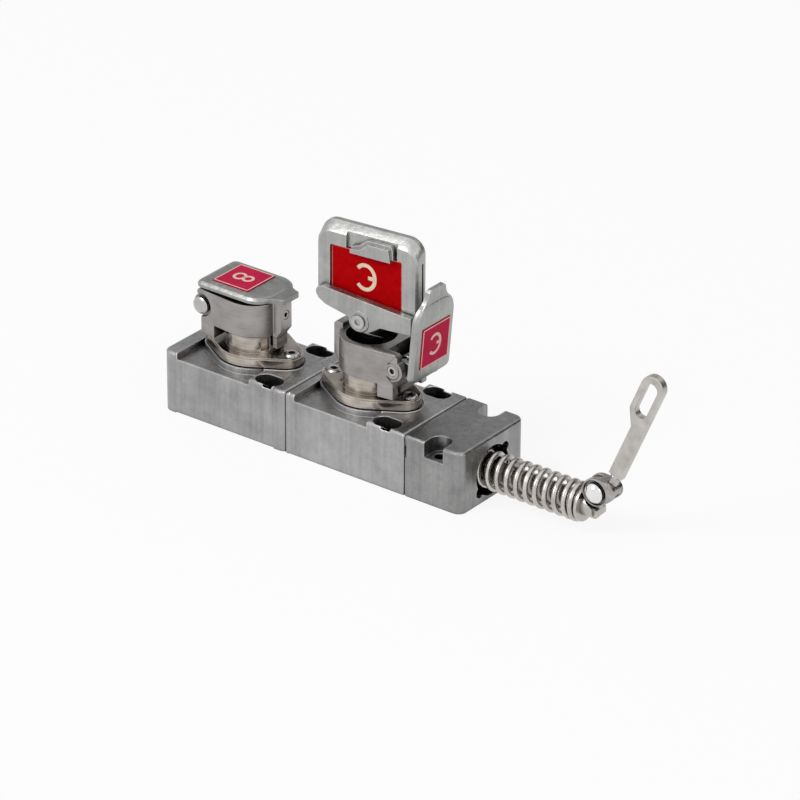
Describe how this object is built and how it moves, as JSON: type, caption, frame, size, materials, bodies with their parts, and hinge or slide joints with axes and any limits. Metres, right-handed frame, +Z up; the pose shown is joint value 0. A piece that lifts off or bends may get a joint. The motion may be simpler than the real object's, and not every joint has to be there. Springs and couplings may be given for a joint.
{
  "type": "safety interlock switch",
  "caption": "Trapped-key safety interlock switch in a long cast housing: hinged lock covers, a framed key and a sprung pull rod with a slotted tongue.",
  "frame": {"origin": "centre of the housing's underside", "axes": "+X along the housing towards the pull rod, +Y across it to the back, +Z up"},
  "size_m": [0.2129, 0.04, 0.0912],
  "materials": {
    "housing_cast": "satin cast stainless steel, blasted",
    "base_sheet": "plain sheet with guide rails",
    "turned_steel": "satin turned and milled stainless steel",
    "cover_cast": "satin cast steel, fine grain",
    "barrel_steel": "turned steel",
    "pin_steel": "bright steel",
    "spring_steel": "polished spring wire",
    "rod_steel": "ground rod",
    "chrome_bolt": "polished",
    "linkage_steel": "satin steel, lightly tumbled",
    "bush_bronze": "turned bronze",
    "seal_rubber": "matt",
    "label_red": "deep red label, satin",
    "label_crimson": "crimson label, satin"
  },
  "bodies": {
    "housing": {"left_module": "housing_cast", "right_module": "housing_cast", "end_module": "housing_cast", "base_plate": "base_sheet", "base_screws": "pin_steel", "tie_screws": "pin_steel", "module_dowels": "pin_steel", "rod_bush": "bush_bronze", "left_flange_seal": "seal_rubber", "left_flange": "turned_steel", "left_flange_screws": "pin_steel", "left_head": "turned_steel", "left_lug_pin": "pin_steel", "left_hinge_pin": "pin_steel", "left_cover_spring": "spring_steel", "right_flange_seal": "seal_rubber", "right_flange": "turned_steel", "right_flange_screws": "pin_steel", "right_head": "turned_steel", "right_lug_pin": "pin_steel", "right_hinge_pin": "pin_steel", "right_cover_spring": "spring_steel"},
    "cover_left": {"left_cover": "cover_cast", "left_cover_label": "label_crimson"},
    "cover_right": {"right_cover": "cover_cast", "right_cover_label": "label_crimson"},
    "barrel_left": {"left_barrel": "barrel_steel", "left_barrel_clip": "pin_steel"},
    "barrel_right": {"right_barrel": "barrel_steel", "right_barrel_clip": "pin_steel"},
    "slide_left": {"left_lock_slide": "barrel_steel"},
    "slide_right": {"right_lock_slide": "barrel_steel"},
    "key": {"key_tag": "cover_cast", "key_label": "label_red", "key_label_clip": "cover_cast", "key_bar": "cover_cast", "key_pin": "pin_steel", "key_shank": "barrel_steel"},
    "rod": {"pull_rod": "rod_steel", "rod_spring": "spring_steel", "spring_washer": "rod_steel", "rod_end": "linkage_steel", "pivot_bolt": "chrome_bolt", "pivot_nut": "pin_steel"},
    "knuckle": {"knuckle": "linkage_steel"},
    "tongue": {"tongue": "linkage_steel"}
  },
  "joints": [
    {"name": "cover_left_open", "type": "hinge", "parent": "housing", "child": "cover_left", "pos_m": [-0.0581, 0, 0.043], "axis": [0, -1, 0], "range_deg": [0, 105], "stiffness_Nm_per_rad": 0.015, "springref_deg": -34.38},
    {"name": "cover_right_open", "type": "hinge", "parent": "housing", "child": "cover_right", "pos_m": [0.0311, 0, 0.043], "axis": [0, 1, 0], "range_deg": [0, 15], "stiffness_Nm_per_rad": 0.015, "springref_deg": -126.05},
    {"name": "barrel_left_turn", "type": "hinge", "parent": "housing", "child": "barrel_left", "pos_m": [-0.041, 0, 0.026], "axis": [0, 0, 1], "range_deg": [-90, 0]},
    {"name": "barrel_right_turn", "type": "hinge", "parent": "housing", "child": "barrel_right", "pos_m": [0.014, 0, 0.026], "axis": [0, 0, 1], "range_deg": [-90, 0]},
    {"name": "slide_left_move", "type": "slide", "parent": "housing", "child": "slide_left", "axis": [1, 0, 0], "range_m": [0, 0.00707]},
    {"name": "slide_right_move", "type": "slide", "parent": "housing", "child": "slide_right", "axis": [1, 0, 0], "range_m": [0, 0.00707]},
    {"name": "key_lift", "type": "slide", "parent": "barrel_right", "child": "key", "axis": [0, 0, 1], "range_m": [0, 0.026]},
    {"name": "rod_push", "type": "slide", "parent": "housing", "child": "rod", "axis": [1, 0, 0], "range_m": [-0.012, 0], "stiffness_N_per_m": 800, "springref_m": 0.01, "deforming": ["rod_spring"]},
    {"name": "knuckle_tilt", "type": "hinge", "parent": "rod", "child": "knuckle", "pos_m": [0.1166, 0, 0.0184], "axis": [0, 1, 0], "range_deg": [-20, 68]},
    {"name": "tongue_swivel", "type": "hinge", "parent": "knuckle", "child": "tongue", "pos_m": [0.1239, 0, 0.0266], "axis": [0.3907, 0, 0.9205], "range_deg": [-90, 90]}
  ],
  "couplings": [
    {"joint": "barrel_left_turn", "follows": "slide_left_move", "rad_per_m": -222.14},
    {"joint": "barrel_right_turn", "follows": "slide_right_move", "rad_per_m": -222.14}
  ]
}
